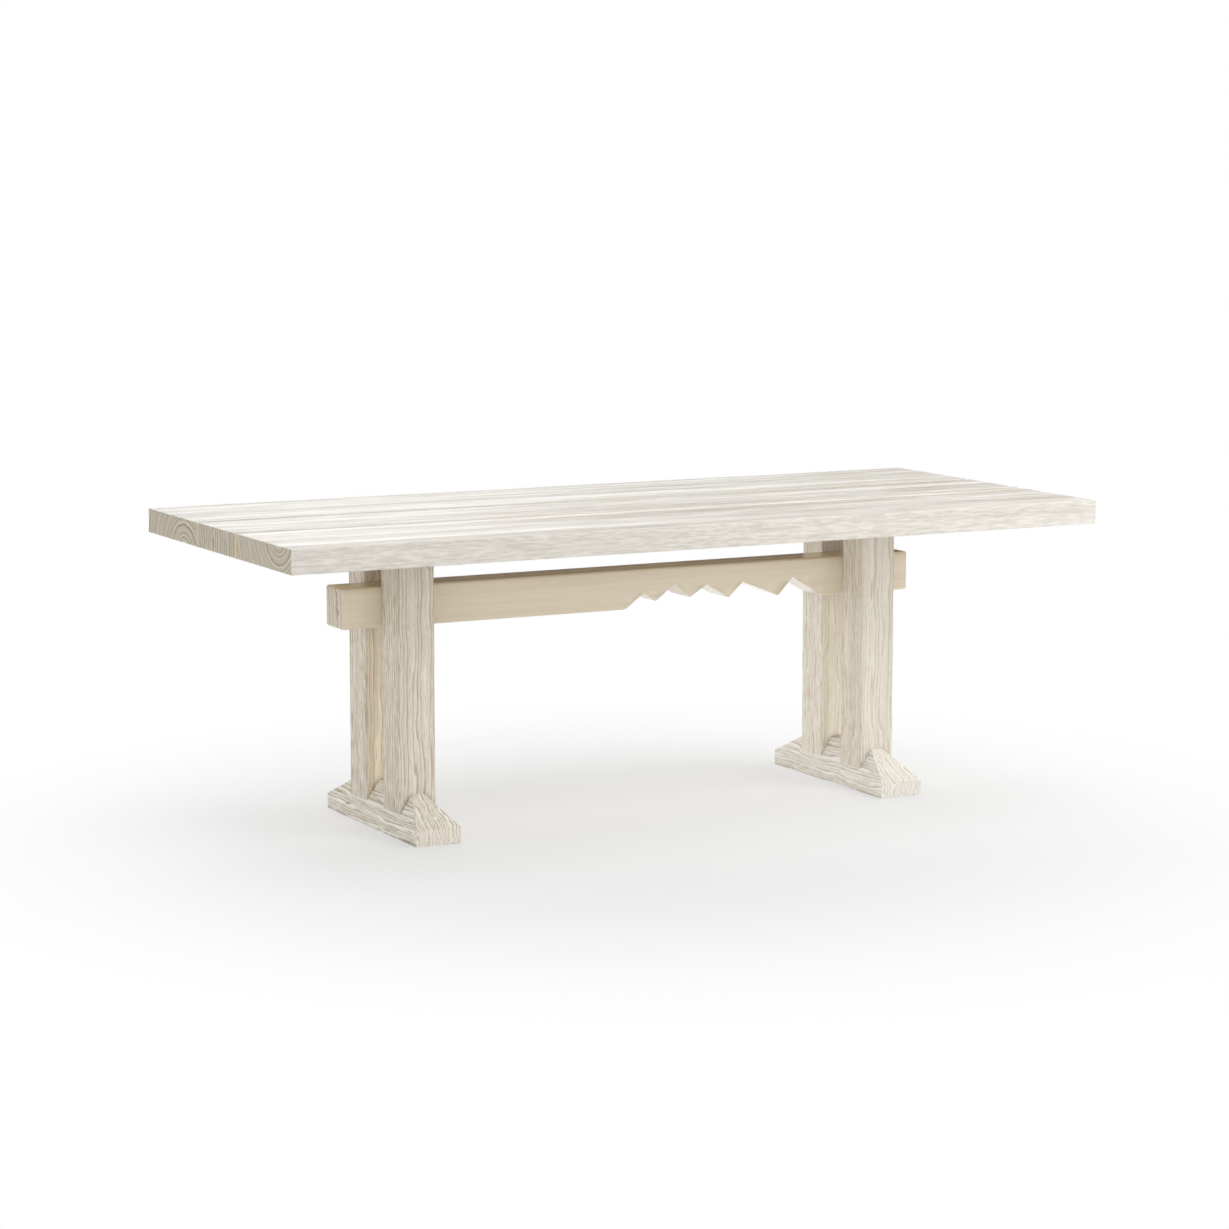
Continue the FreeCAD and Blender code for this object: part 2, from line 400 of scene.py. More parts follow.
class WoodGroups:
    """The shader node groups that all the wooden finishes share."""

    # A rate is in cycles for each metre along and across the grain.
    stray_rate = (3.5, 55.0, 55.0)
    dark_rise = (0.62, 0.9)
    dark_fall = (0.94, 1.0)
    bright_start = 0.04
    fibre_rate = (9.0, 420.0, 420.0)
    band_rate = (0.9, 44.0, 44.0)
    fine_range = (0.3, 0.7)
    band_range = (0.34, 0.66)
    fibre_share = 0.3
    band_share = 0.7
    middle = 0.5
    end_lime_loss = 0.7
    fibre_height = 0.35
    pore_height = 0.25
    line_depth = 0.9

    def __init__(self) -> None:
        """Build each group once."""
        self.rings = self.build_rings()
        self.fibres = self.build_fibres()
        self.liming = self.build_liming()

    @staticmethod
    def waves(graph: Graph, angle: Input, waves: Sequence[Point]) -> bpy.types.NodeSocket:
        """Sum of sines.

        Args:
            graph: the tree to build in.
            angle: the angle that every wave starts from.
            waves: height, frequency and phase of each wave.

        Returns:
            The sum.
        """
        total: Input = 0.0
        for height, frequency, phase in waves:
            turned = graph.math("MULTIPLY_ADD", angle, frequency, phase)
            total = graph.math("MULTIPLY_ADD", graph.math("SINE", turned), height, total)
        return total

    def build_rings(self) -> bpy.types.NodeTree:
        """Draw growth rings round the log's centre line.

        Returns:
            The group.
        """
        values = (
            "Pitch", "Side Share", "Depth Share", "Depth Shift", "Sway", "Sway Length", "Wander",
            "Bright Width")
        inputs = {"Position": "NodeSocketVector", **{name: "NodeSocketFloat" for name in values}}
        graph = GroupGraph("growth_rings", inputs, {"Dark": "NodeSocketFloat", "Bright": "NodeSocketFloat"})
        given = graph.inputs
        apart = graph.node("ShaderNodeSeparateXYZ")
        graph.feed(apart.inputs[0], given["Position"])
        turns = graph.math("DIVIDE", apart.outputs[0], given["Sway Length"])
        angle = graph.math("MULTIPLY", turns, FULL_TURN)
        side_wave = self.waves(graph, angle, Log.side_waves)
        depth_wave = self.waves(graph, angle, Log.depth_waves)
        side = graph.math("MULTIPLY_ADD", side_wave, given["Sway"], apart.outputs[1])
        depth = graph.math("MULTIPLY_ADD", depth_wave, given["Sway"], apart.outputs[2])
        side = graph.math("MULTIPLY", side, given["Side Share"])
        depth = graph.math("ADD", depth, given["Depth Shift"])
        depth = graph.math("MULTIPLY", depth, given["Depth Share"])
        square = graph.math("MULTIPLY_ADD", side, side, graph.math("MULTIPLY", depth, depth))
        count = graph.math("DIVIDE", graph.math("SQRT", square), given["Pitch"])
        uneven = graph.math("ADD", count, self.waves(graph, count, Log.uneven_waves))
        cloud = graph.noise(given["Position"], self.stray_rate, detail=2.0, roughness=0.5)
        stray = graph.math("SUBTRACT", cloud, self.middle)
        share = graph.math("FRACT", graph.math("MULTIPLY_ADD", stray, given["Wander"], uneven))
        # Dark lines stand for darker latewood and for painted shade on the grooves' sides; bright lines for
        # lime in the grooves and painted light on their lit sides.
        fall = graph.math("SUBTRACT", 1.0, graph.smooth(share, *self.dark_fall))
        rise = graph.smooth(share, *self.dark_rise)
        graph.feed(graph.outputs["Dark"], graph.math("MULTIPLY", rise, fall))
        dim = graph.smooth(share, self.bright_start, given["Bright Width"])
        graph.feed(graph.outputs["Bright"], graph.math("SUBTRACT", 1.0, dim))
        return graph.tree

    def build_fibres(self) -> bpy.types.NodeTree:
        """Draw fine fibres, short pores and broad tone bands.

        Returns:
            The group.
        """
        outputs = {name: "NodeSocketFloat" for name in ("Fibre", "Pore", "Band")}
        inputs = {
            "Position": "NodeSocketVector", "Coarseness": "NodeSocketFloat", "Pore Rate": "NodeSocketVector"}
        graph = GroupGraph("brushed_fibres", inputs, outputs)
        place = graph.inputs["Position"]
        shrunk = graph.node("ShaderNodeVectorMath", operation="SCALE")
        graph.feed(shrunk.inputs[0], place)
        graph.feed(shrunk.inputs["Scale"], graph.math("DIVIDE", 1.0, graph.inputs["Coarseness"]))
        fibre = graph.noise(place, self.fibre_rate, detail=3.0, roughness=0.6)
        pore = graph.noise(place, graph.inputs["Pore Rate"], detail=2.0, roughness=0.6)
        band = graph.noise(shrunk.outputs[0], self.band_rate, detail=4.0, roughness=0.7)
        graph.feed(graph.outputs["Fibre"], graph.smooth(fibre, *self.fine_range))
        graph.feed(graph.outputs["Pore"], graph.smooth(pore, *self.fine_range))
        graph.feed(graph.outputs["Band"], graph.smooth(band, *self.band_range))
        return graph.tree

    def build_liming(self) -> bpy.types.NodeTree:
        """Colour the wood, draw its lines and lay lime in its grooves.

        Returns:
            The group.
        """
        colours = ("Wood", "Lime", "End Wood", "Shade", "Painted Side Light")
        masks = ("Dark", "Bright", "Fibre", "Pore", "Band", "End", "Side", "Streak", "Line", "Fleck")
        inputs = {name: "NodeSocketColor" for name in colours}
        inputs.update({name: "NodeSocketFloat" for name in masks})
        graph = GroupGraph("limed_colour", inputs, {"Colour": "NodeSocketColor", "Height": "NodeSocketFloat"})
        given = graph.inputs
        broad = graph.math("MULTIPLY", given["Band"], self.band_share)
        paste = graph.math("MULTIPLY_ADD", given["Fibre"], self.fibre_share, broad)
        even = graph.math("SUBTRACT", paste, self.middle)
        paste = graph.math("MULTIPLY_ADD", even, given["Streak"], self.middle)
        speck = graph.math("SUBTRACT", given["Pore"], self.middle)
        paste = graph.math("MULTIPLY_ADD", speck, given["Fleck"], paste)
        limed = graph.mix(paste, given["Wood"], given["Lime"])
        ended = graph.mix(given["End"], limed, given["End Wood"])
        # The dark lines darken the colour as latewood and as painted shade in the grooves; the bright lines
        # lay lime, also as painted light on the grooves' lit sides.
        drawn = graph.math("MULTIPLY", given["Dark"], given["Line"])
        lined = graph.mix(drawn, ended, given["Shade"], "MULTIPLY")
        open_grain = graph.math("MULTIPLY_ADD", given["End"], -self.end_lime_loss, 1.0)
        lit = graph.math("MULTIPLY", graph.math("MULTIPLY", given["Bright"], given["Line"]), open_grain)
        whole = graph.mix(lit, lined, given["Lime"])
        # Painted light and shade: the colour on the chosen faces is multiplied to match how brightly those
        # faces are lit.
        with_painted_light = graph.mix(given["Side"], whole, given["Painted Side Light"], "MULTIPLY")
        graph.feed(graph.outputs["Colour"], with_painted_light)
        raised = graph.math("MULTIPLY", given["Pore"], self.pore_height)
        raised = graph.math("MULTIPLY_ADD", given["Fibre"], self.fibre_height, raised)
        raised = graph.math("MULTIPLY_ADD", given["Dark"], -self.line_depth, raised)
        graph.feed(graph.outputs["Height"], raised)
        return graph.tree


@dataclass(frozen=True)
class Pores:
    """The marks that open pores leave on a face.

    Attributes:
        rate: pores for each metre along and across the grain.
        strength: how strongly they show.
    """

    rate: Point
    strength: float


@dataclass(frozen=True)
class WoodFinish:
    """A limed wooden finish.

    Attributes:
        name: name of the finish.
        slot: material slot of the record.
        wood: colour of the bare wood.
        lime: colour of the lime in the grain.
        end_wood: colour of the end grain.
        shade: what the dark growth lines multiply the colour by, for darker latewood and painted shade on the
            grooves' sides.
        streak: how strongly broad bands and fibres show.
        line: how strongly the growth lines show along the grain.
        end_line: how strongly they show on the end grain.
        bright_width: share of a ring's width over which its limed line fades.
        pores: marks of the pores.
        coarseness: width of the broad bands, 1 for bands of about 20 mm.
        roughness: roughness of the clear coat, on bare bands and on limed ones.
        specular: strength of the clear coat.
        bump: strength of the fine relief.
        side: direction of the faces that differ from the others.
        both_sides: True where the faces on the far side differ as well.
        painted_side_light: what the colour is multiplied by on those faces, painted light and shade for how
            brightly they are lit.
        side_gain: how many times more the bands and lines show on those faces.
        side_pores: marks of the pores on those faces, None for the same as elsewhere.
    """

    name: str
    slot: str
    wood: Colour
    lime: Colour
    end_wood: Colour
    shade: Colour
    streak: float
    line: float
    end_line: float
    pores: Pores
    roughness: Tuple[float, float]
    specular: float
    bump: float
    coarseness: float = 1.0
    side: Point = (0.0, 0.0, 1.0)
    both_sides: bool = False
    painted_side_light: Colour = (1.0, 1.0, 1.0)
    side_gain: float = 1.0
    side_pores: Optional[Pores] = None
    bright_width: float = 0.26

    relief_height = 0.0008
    side_range = (0.6, 0.9)

    def with_painted_light(self, *tone: float) -> "WoodFinish":
        """Scale the finish's colours, as painted light and shade for one piece.

        Args:
            tone: factors of red, green and blue of the painted light and shade.

        Returns:
            The finish with the painted light and shade.
        """
        wood = tuple(part * factor for part, factor in zip(self.wood, tone))
        lime = tuple(part * factor for part, factor in zip(self.lime, tone))
        return replace(self, wood=wood, lime=lime)

    def material(self, piece: str, log: Log, groups: WoodGroups) -> bpy.types.Material:
        """Make the finish for one piece.

        Args:
            piece: name of the piece.
            log: how the piece lies in its log.
            groups: the shared node groups.

        Returns:
            The material.
        """
        made = bpy.data.materials.new(self.name + "_" + piece)
        made.use_nodes = True
        graph = Graph(made.node_tree)
        given = graph.node("ShaderNodeTexCoord").outputs
        placed = graph.node("ShaderNodeMapping")
        shift, turn, _ = log.placing().decompose()
        graph.feed(placed.inputs["Vector"], given["Object"])
        graph.feed(placed.inputs["Location"], tuple(shift))
        graph.feed(placed.inputs["Rotation"], tuple(turn.to_euler()))
        position = placed.outputs[0]
        turned = graph.dot(given["Normal"], self.side)
        if self.both_sides:
            turned = graph.math("ABSOLUTE", turned)
        side = graph.smooth(turned, *self.side_range)
        side_pores = self.side_pores or self.pores
        facing = graph.math("ABSOLUTE", graph.dot(given["Normal"], tuple(log.fibre())))
        end = graph.smooth(facing, *log.end_range)
        ends = log.ends or EndGrain(ring_pitch=log.ring_pitch, squash=log.squash, drop=0.0)
        side_share: Input = 1.0
        depth_share = graph.span(end, log.squash, ends.squash)
        if log.crossed:
            side_share = graph.smooth(facing, *log.cut_range)
            depth_share = graph.math("SUBTRACT", 1.0, side_share)
        rings = graph.group(groups.rings, {
            "Position": position, "Pitch": graph.span(end, log.ring_pitch, ends.ring_pitch),
            "Side Share": side_share, "Depth Share": depth_share,
            "Depth Shift": graph.math("MULTIPLY", end, ends.drop),
            "Sway": log.sway, "Sway Length": log.sway_length, "Wander": log.wander,
            "Bright Width": self.bright_width})
        fibres = graph.group(groups.fibres, {
            "Position": position, "Coarseness": self.coarseness,
            "Pore Rate": graph.between(side, self.pores.rate, side_pores.rate)})
        gain = graph.span(side, 1.0, self.side_gain)
        line = graph.math("MULTIPLY", gain, self.line)
        liming = graph.group(groups.liming, {
            "Wood": self.wood, "Lime": self.lime, "End Wood": self.end_wood, "Shade": self.shade,
            "Painted Side Light": self.painted_side_light, "Dark": rings["Dark"], "Bright": rings["Bright"],
            "Fibre": fibres["Fibre"], "Pore": fibres["Pore"], "Band": fibres["Band"],
            "End": end, "Side": side, "Streak": graph.math("MULTIPLY", gain, self.streak),
            "Line": graph.span(end, line, self.end_line),
            "Fleck": graph.span(side, self.pores.strength, side_pores.strength)})
        shader = graph.node("ShaderNodeBsdfPrincipled")
        graph.feed(shader.inputs["Specular IOR Level"], self.specular)
        graph.feed(shader.inputs["Base Color"], liming["Colour"])
        graph.feed(shader.inputs["Roughness"], graph.span(fibres["Band"], *self.roughness))
        bump = graph.node("ShaderNodeBump")
        graph.feed(bump.inputs["Strength"], self.bump)
        graph.feed(bump.inputs["Distance"], self.relief_height)
        graph.feed(bump.inputs["Height"], liming["Height"])
        graph.feed(shader.inputs["Normal"], bump.outputs[0])
        graph.show(shader)
        return made


@dataclass(frozen=True)
class MetalFinish:
    """A plain metal finish with faint rubbing marks.

    Attributes:
        name: name of the finish.
        colour: colour of the metal.
        roughness: lowest and highest roughness.
    """

    name: str
    colour: Colour
    roughness: Tuple[float, float]

    mark_rate = (160.0, 160.0, 160.0)

    def material(self) -> bpy.types.Material:
        """Make the finish.

        Returns:
            The material.
        """
        made = bpy.data.materials.new(self.name)
        made.use_nodes = True
        graph = Graph(made.node_tree)
        shader = graph.node("ShaderNodeBsdfPrincipled")
        graph.feed(shader.inputs["Base Color"], self.colour)
        graph.feed(shader.inputs["Metallic"], 1.0)
        given = graph.node("ShaderNodeTexCoord")
        marks = graph.noise(given.outputs["Object"], self.mark_rate, detail=2.0, roughness=0.5)
        graph.feed(shader.inputs["Roughness"], graph.span(marks, *self.roughness))
        graph.show(shader)
        return made


PLANK_FINISH = WoodFinish(
    name="limed_plank", slot="plank_wood", wood=(0.49, 0.445, 0.375), lime=(0.84, 0.815, 0.77),
    end_wood=(0.55, 0.485, 0.37), shade=(0.68, 0.65, 0.61), streak=0.28, line=0.105, end_line=2.0,
    pores=Pores((24.0, 220.0, 200.0), 0.4), coarseness=2.5, roughness=(0.44, 0.56), specular=0.5, bump=0.5,
    side_gain=4.3, side_pores=Pores((5.0, 140.0, 300.0), 0.6))
FILLET_FINISH = WoodFinish(
    name="cream_fillet", slot="fillet_wood", wood=(0.56, 0.48, 0.36), lime=(0.68, 0.60, 0.47),
    end_wood=(0.62, 0.52, 0.38), shade=(0.9, 0.88, 0.85), streak=0.5, line=0.2, end_line=0.2,
    pores=Pores((100.0, 500.0, 500.0), 0.3), roughness=(0.5, 0.6), specular=0.25, bump=0.2)
TRESTLE_FINISH = WoodFinish(
    name="brushed_trestle", slot="trestle_wood", wood=(0.54, 0.47, 0.36), lime=(0.82, 0.775, 0.68),
    end_wood=(0.75, 0.70, 0.615), shade=(0.66, 0.63, 0.57), streak=0.5, line=0.85, end_line=0.85,
    pores=Pores((60.0, 350.0, 350.0), 0.35), coarseness=1.2, roughness=(0.42, 0.52), specular=0.4, bump=0.7,
    side=(1.0, 0.0, 0.0), both_sides=True, side_pores=Pores((30.0, 125.0, 125.0), 0.75))
# Painted light: a paler copy of the trestle finish for the right trestle, standing in for the stronger light
# that falls on that side.
PAINTED_LIGHT_TRESTLE_FINISH = replace(
    TRESTLE_FINISH, name="painted_light_trestle", wood=(0.64, 0.57, 0.455), lime=(0.88, 0.84, 0.75),
    end_wood=(0.75, 0.72, 0.665), shade=(0.72, 0.69, 0.63), line=0.6,
    side_pores=Pores((30.0, 125.0, 125.0), 0.7))
FOOT_FINISH = replace(
    TRESTLE_FINISH, name="brushed_foot", wood=(0.53, 0.465, 0.36), lime=(0.93, 0.90, 0.82),
    shade=(0.7, 0.66, 0.6), line=1.0, bright_width=0.5)
# Painted light: the right foot's paler copy, for the same stronger light.
PAINTED_LIGHT_FOOT_FINISH = replace(
    PAINTED_LIGHT_TRESTLE_FINISH, name="painted_light_foot", wood=(0.68, 0.62, 0.515), lime=(0.97, 0.955, 0.91),
    shade=(0.76, 0.73, 0.67), line=0.9, bright_width=0.5)
# Painted shade: the stretcher's upward faces are made darker and warmer, as in the shade under the tabletop.
STRETCHER_FINISH = WoodFinish(
    name="planed_stretcher", slot="stretcher_wood", wood=(0.64, 0.55, 0.41), lime=(0.755, 0.68, 0.545),
    end_wood=(0.62, 0.54, 0.42), shade=(0.58, 0.54, 0.48), streak=0.5, line=0.15, end_line=1.0,
    pores=Pores((100.0, 500.0, 500.0), 0.15), roughness=(0.08, 0.12), specular=0.5, bump=0.1,
    painted_side_light=(0.90, 0.75, 0.49))
BEARER_FINISH = WoodFinish(
    name="planed_bearer", slot="bearer_wood", wood=(0.52, 0.44, 0.33), lime=(0.62, 0.54, 0.43),
    end_wood=(0.46, 0.39, 0.29), shade=(0.84, 0.8, 0.74), streak=0.5, line=0.4, end_line=0.6,
    pores=Pores((100.0, 500.0, 500.0), 0.3), roughness=(0.5, 0.6), specular=0.3, bump=0.25)
DOWEL_FINISH = WoodFinish(
    name="plain_dowel", slot="dowel_wood", wood=(0.58, 0.46, 0.30), lime=(0.66, 0.55, 0.38),
    end_wood=(0.50, 0.40, 0.26), shade=(0.84, 0.8, 0.74), streak=0.4, line=0.2, end_line=0.4,
    pores=Pores((100.0, 500.0, 500.0), 0.0), coarseness=0.5, roughness=(0.6, 0.65), specular=0.3, bump=0.1)
STEEL_FINISH = MetalFinish(name="zinc_steel", colour=(0.62, 0.62, 0.63), roughness=(0.28, 0.45))
BRASS_FINISH = MetalFinish(name="plain_brass", colour=(0.72, 0.55, 0.27), roughness=(0.25, 0.4))


class Carving:
    """A piece's mesh while it is shaped: eased, cut into strips and brushed."""

    straight = 0.9999
    lean_range = (0.25, 0.55)
    ease_segments = 3
    ease_profile = 0.5
    cut_tolerance = 1e-6

    def __init__(self) -> None:
        """Start with an empty mesh."""
        self.bm = bmesh.new()

    @classmethod
    def of_box(cls, low: Vector, high: Vector) -> "Carving":
        """Start from a plain block.

        Args:
            low: lowest corner.
            high: highest corner.

        Returns:
            The block.
        """
        made = cls()
        middle = Matrix.Translation((low + high) / 2)
        bmesh.ops.create_cube(made.bm, size=1.0, matrix=middle @ Matrix.Diagonal((*(high - low), 1.0)))
        return made

    @classmethod
    def of_node(cls, node: bpy.types.Object) -> "Carving":
        """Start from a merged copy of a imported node.

        Args:
            node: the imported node.

        Returns:
            The copy.
        """
        made = cls()
        made.bm.from_mesh(node.data)
        bmesh.ops.remove_doubles(made.bm, verts=made.bm.verts[:], dist=MERGE_DISTANCE)
        return made

    def ease(self, radius: float) -> None:
        """Round every edge.

        Args:
            radius: width of the rounding.
        """
        bmesh.ops.bevel(
            self.bm, geom=self.bm.edges[:], offset=radius, offset_type="OFFSET", segments=self.ease_segments,
            profile=self.ease_profile, affect="EDGES", material=-1, clamp_overlap=True)

    def split_edges(self, axis: Axis, width: float) -> None:
        """Split an eased block's edges along an axis, so that the brushing has points to move.

        Args:
            axis: direction of the edges.
            width: length of a step.
        """
        along = [
            edge for edge in self.bm.edges
            if abs((edge.verts[1].co - edge.verts[0].co).normalized()[axis.value]) > self.straight
        ]
        cuts = round(max(edge.calc_length() for edge in along) / width) - 1
        bmesh.ops.subdivide_edges(self.bm, edges=along, cuts=cuts, use_grid_fill=True)

    def cut_strips(self, axis: Axis, width: float) -> None:
        """Cut the mesh into even strips for the brushing.

        Args:
            axis: direction across which the strips follow each other.
            width: width of a strip.
        """
        places = [vertex.co[axis.value] for vertex in self.bm.verts]
        low = min(places)
        high = max(places)
        count = max(1, round((high - low) / width))
        normal = Vector((0.0, 0.0, 0.0))
        normal[axis.value] = 1.0
        for index in range(1, count):
            point = normal * (low + (high - low) * index / count)
            whole = self.bm.verts[:] + self.bm.edges[:] + self.bm.faces[:]
            bmesh.ops.bisect_plane(
                self.bm, geom=whole, dist=self.cut_tolerance, plane_co=point, plane_no=normal)

    def brushed(
        self, name: str, log: Log, depth: float, sharp_angle: float, upright: bool = False
    ) -> bpy.types.Mesh:
        """Make the mesh and press the growth rings into its surface.

        Args:
            name: name of the mesh.
            log: how the piece lies in its log.
            depth: depth of the grooves.
            sharp_angle: edges that turn by more stay crisp, in degrees.
            upright: True to brush upright faces only, so that sloping joints stay tight.

        Returns:
            The finished mesh.
        """
        mesh = bpy.data.meshes.new(name)
        self.bm.normal_update()
        self.bm.to_mesh(mesh)
        self.bm.free()
        places = np.empty(len(mesh.vertices) * 3)
        mesh.vertices.foreach_get("co", places)
        places = places.reshape(-1, 3)
        normals = np.empty(len(mesh.vertices) * 3, np.float32)
        mesh.vertex_normals.foreach_get("vector", normals)
        normals = normals.reshape(-1, 3)
        sunk = depth * (1.0 - log.ridge(places, normals))
        if upright:
            sunk *= 1.0 - Log.step(np.abs(normals[:, 2]), *self.lean_range)
        places -= normals * sunk[:, None]
        mesh.vertices.foreach_set("co", places.ravel())
        mesh.shade_smooth()
        mesh.set_sharp_from_angle(angle=math.radians(sharp_angle))
        mesh.update()
        return mesh


def add_piece(node: str, mesh: bpy.types.Mesh, material: bpy.types.Material) -> None:
    """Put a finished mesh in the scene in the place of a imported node.

    Args:
        node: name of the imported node.
        mesh: the finished mesh.
        material: its finish.
    """
    piece = bpy.data.objects.new(mesh.name, mesh)
    bpy.context.scene.collection.objects.link(piece)
    mesh.materials.append(material)
    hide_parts(node)
    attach(piece, BODY)
    LOG.info("%s: %d faces", piece.name, len(mesh.polygons))


def dress_node(node: bpy.types.Object, material: bpy.types.Material) -> None:
    """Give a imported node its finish.

    Args:
        node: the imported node.
        material: its finish.
    """
    node.data.materials.clear()
    node.data.materials.append(material)
    LOG.info("%s: %s", node.name, material.name)


@dataclass
class Top:
    """The three planks and the two fillets between them."""

    plank_ease: float = 0.002
    fillet_ease: float = 0.001
    strip_width: float = 0.0025
    strip_length: float = 0.06
    plank_depth: float = 0.0006
    fillet_depth: float = 0.0001
    sharp_angle: float = 50.0

    front_log: Log = Log(
        grain=Grain.LENGTHWISE, pith=(0.0, -0.391, 0.856), ring_pitch=0.0185, squash=0.5, sway=0.002,
        sway_length=1.3, wander=0.4, start=10.7, ends=EndGrain(ring_pitch=0.0165, squash=1.15, drop=0.0687))
    middle_log: Log = Log(
        grain=Grain.LENGTHWISE, pith=(0.0, 0.5, 0.62), ring_pitch=0.015, squash=0.3, sway=0.003,
        sway_length=1.1, wander=0.8, start=18.8)
    rear_log: Log = Log(
        grain=Grain.LENGTHWISE, pith=(0.0, 0.217, 0.675), ring_pitch=0.0195, squash=0.6, sway=0.002,
        sway_length=1.5, wander=0.4, start=23.5, ends=EndGrain(ring_pitch=0.0172, squash=1.15, drop=0.0034))
    fillet_log: Log = Log(
        grain=Grain.LENGTHWISE, pith=(0.0, 0.5, 0.3), ring_pitch=0.004, sway=0.001,
        sway_length=0.9, wander=0.5, start=23.0)
    # Painted light: each plank's top face is made slightly lighter, standing in for the sheen of the clear
    # coat there.
    painted_top_light: ClassVar[Dict[str, Colour]] = {
        "front": (1.05, 1.05, 1.06), "middle": (1.04, 1.04, 1.06), "rear": (1.01, 1.02, 1.03)}

    def build(self, groups: WoodGroups) -> None:
        """Make and dress every plank and fillet.

        Args:
            groups: the shared node groups.
        """
        logs = {"front": self.front_log, "middle": self.middle_log, "rear": self.rear_log}
        for place, log in logs.items():
            node = "top_plank_" + place
            carving = Carving.of_box(*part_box(node))
            carving.ease(self.plank_ease)
            carving.split_edges(Axis.X, self.strip_length)
            carving.split_edges(Axis.Y, self.strip_width)
            carving.split_edges(Axis.Z, self.strip_width)
            mesh = carving.brushed("limed_" + node, log, self.plank_depth, self.sharp_angle)
            finish = replace(PLANK_FINISH, painted_side_light=self.painted_top_light[place])
            add_piece(node, mesh, finish.material(node, log, groups))
        for row in Row:
            node = "fillet_" + row.value
            carving = Carving.of_box(*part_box(node))
            carving.ease(self.fillet_ease)
            carving.split_edges(Axis.X, self.strip_length)
            log = self.fillet_log
            mesh = carving.brushed("cream_" + node, log, self.fillet_depth, self.sharp_angle)
            material = FILLET_FINISH.material(node, log, groups)
            add_piece(node, mesh, material)


